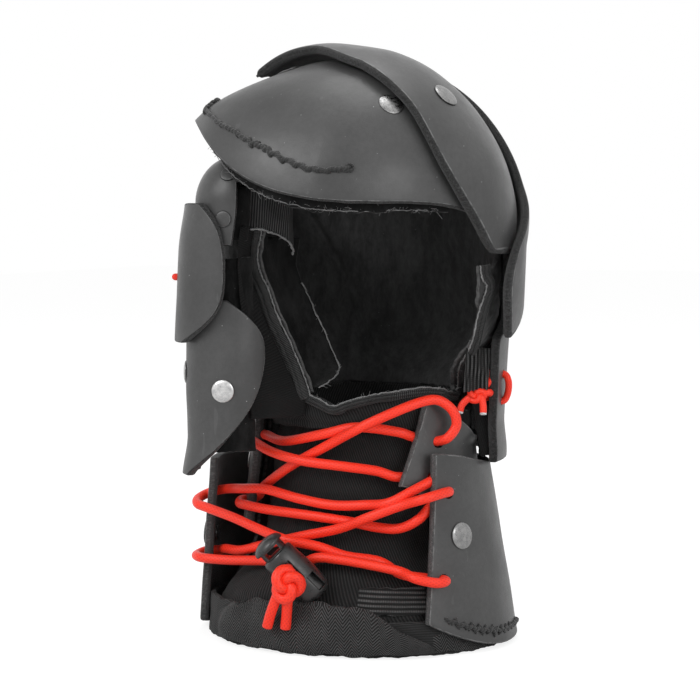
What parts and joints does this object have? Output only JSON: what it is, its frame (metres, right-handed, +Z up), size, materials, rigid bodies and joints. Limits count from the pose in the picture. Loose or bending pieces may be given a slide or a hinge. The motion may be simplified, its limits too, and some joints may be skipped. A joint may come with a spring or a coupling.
{
  "type": "fencing gauntlet",
  "caption": "Left-hand fencing gauntlet with overlapping moulded leather plates, riveted lames, a suede lining and red elastic lacing with a cord lock.",
  "frame": {"origin": "centre of the cuff's hem, on the plane that the glove stands on", "axes": "+Z up the forearm to the fingers, -Y out of the palm side, +X towards the little finger, thumb at -X"},
  "size_m": [0.1712, 0.1627, 0.2914],
  "materials": {
    "plate_leather": "smooth dark grey moulded leather, satin",
    "rivet_steel": "worn steel",
    "rivet_painted": "grey paint, satin",
    "suede": "black suede",
    "cloth": "black woven cloth",
    "red_cord": "braided elastic cord",
    "black_plastic": "moulded black plastic",
    "spring_steel": "bright wire",
    "thread": "waxed black thread"
  },
  "bodies": {
    "cuff": {"cuff_plate": "plate_leather", "wrist_plate": "plate_leather", "cuff_rivets": "rivet_steel", "wrist_rivets": "rivet_steel", "cuff_lining": "suede", "wrist_tongue": "cloth", "hem_tape": "cloth", "lace": "red_cord", "lace_knot": "red_cord", "lock_barrel": "black_plastic", "lock_spring": "spring_steel", "cuff_stitching": "thread"},
    "hand": {"hand_plate": "plate_leather", "hand_rivets": "rivet_steel", "hand_lining": "suede", "palm_band": "cloth", "thumb_gusset": "cloth", "side_tie": "red_cord"},
    "knuckles": {"knuckle_plate": "plate_leather", "knuckle_rivets": "rivet_steel"},
    "fingers": {"finger_plate": "plate_leather", "finger_rivets": "rivet_steel", "finger_lining": "suede"},
    "fingertips": {"fingertip_plate": "plate_leather", "fingertip_rivets": "rivet_steel", "fingertip_lining": "suede", "fingertip_stitching": "thread"},
    "thumb": {"thumb_base_plate": "plate_leather", "thumb_guard_plate": "plate_leather", "thumb_base_rivets": "rivet_steel", "thumb_lining": "suede", "thumb_tie": "red_cord"},
    "thumb_tip": {"thumb_tip_plate": "plate_leather", "thumb_tip_rivets": "rivet_painted", "thumb_tip_lining": "suede"},
    "button": {"lock_button": "black_plastic"}
  },
  "joints": [
    {"name": "wrist_bend", "type": "hinge", "parent": "cuff", "child": "hand", "pos_m": [0, 0, 0.107], "axis": [1, 0, 0], "range_deg": [-8, 8]},
    {"name": "knuckle_slide", "type": "hinge", "parent": "hand", "child": "knuckles", "pos_m": [0.005, -0.016, 0.212], "axis": [0.9781, 0, -0.2079], "range_deg": [-4, 0]},
    {"name": "finger_slide", "type": "hinge", "parent": "knuckles", "child": "fingers", "pos_m": [0.005, -0.016, 0.212], "axis": [0.9781, 0, -0.2079], "range_deg": [-12, 0]},
    {"name": "fingertip_slide", "type": "hinge", "parent": "fingers", "child": "fingertips", "pos_m": [0.005, -0.016, 0.212], "axis": [0.9781, 0, -0.2079], "range_deg": [-12, 0]},
    {"name": "thumb_spread", "type": "hinge", "parent": "hand", "child": "thumb", "pos_m": [-0.025, -0.057, 0.13], "axis": [0, 0, 1], "range_deg": [0, 12]},
    {"name": "thumb_bend", "type": "hinge", "parent": "thumb", "child": "thumb_tip", "pos_m": [-0.047, -0.047, 0.185], "axis": [0.342, -0.9397, 0], "range_deg": [-8, 0]},
    {"name": "lock_press", "type": "slide", "parent": "cuff", "child": "button", "axis": [0.6645, 0.2418, -0.7071], "range_m": [0, 0.004], "stiffness_N_per_m": 400}
  ]
}
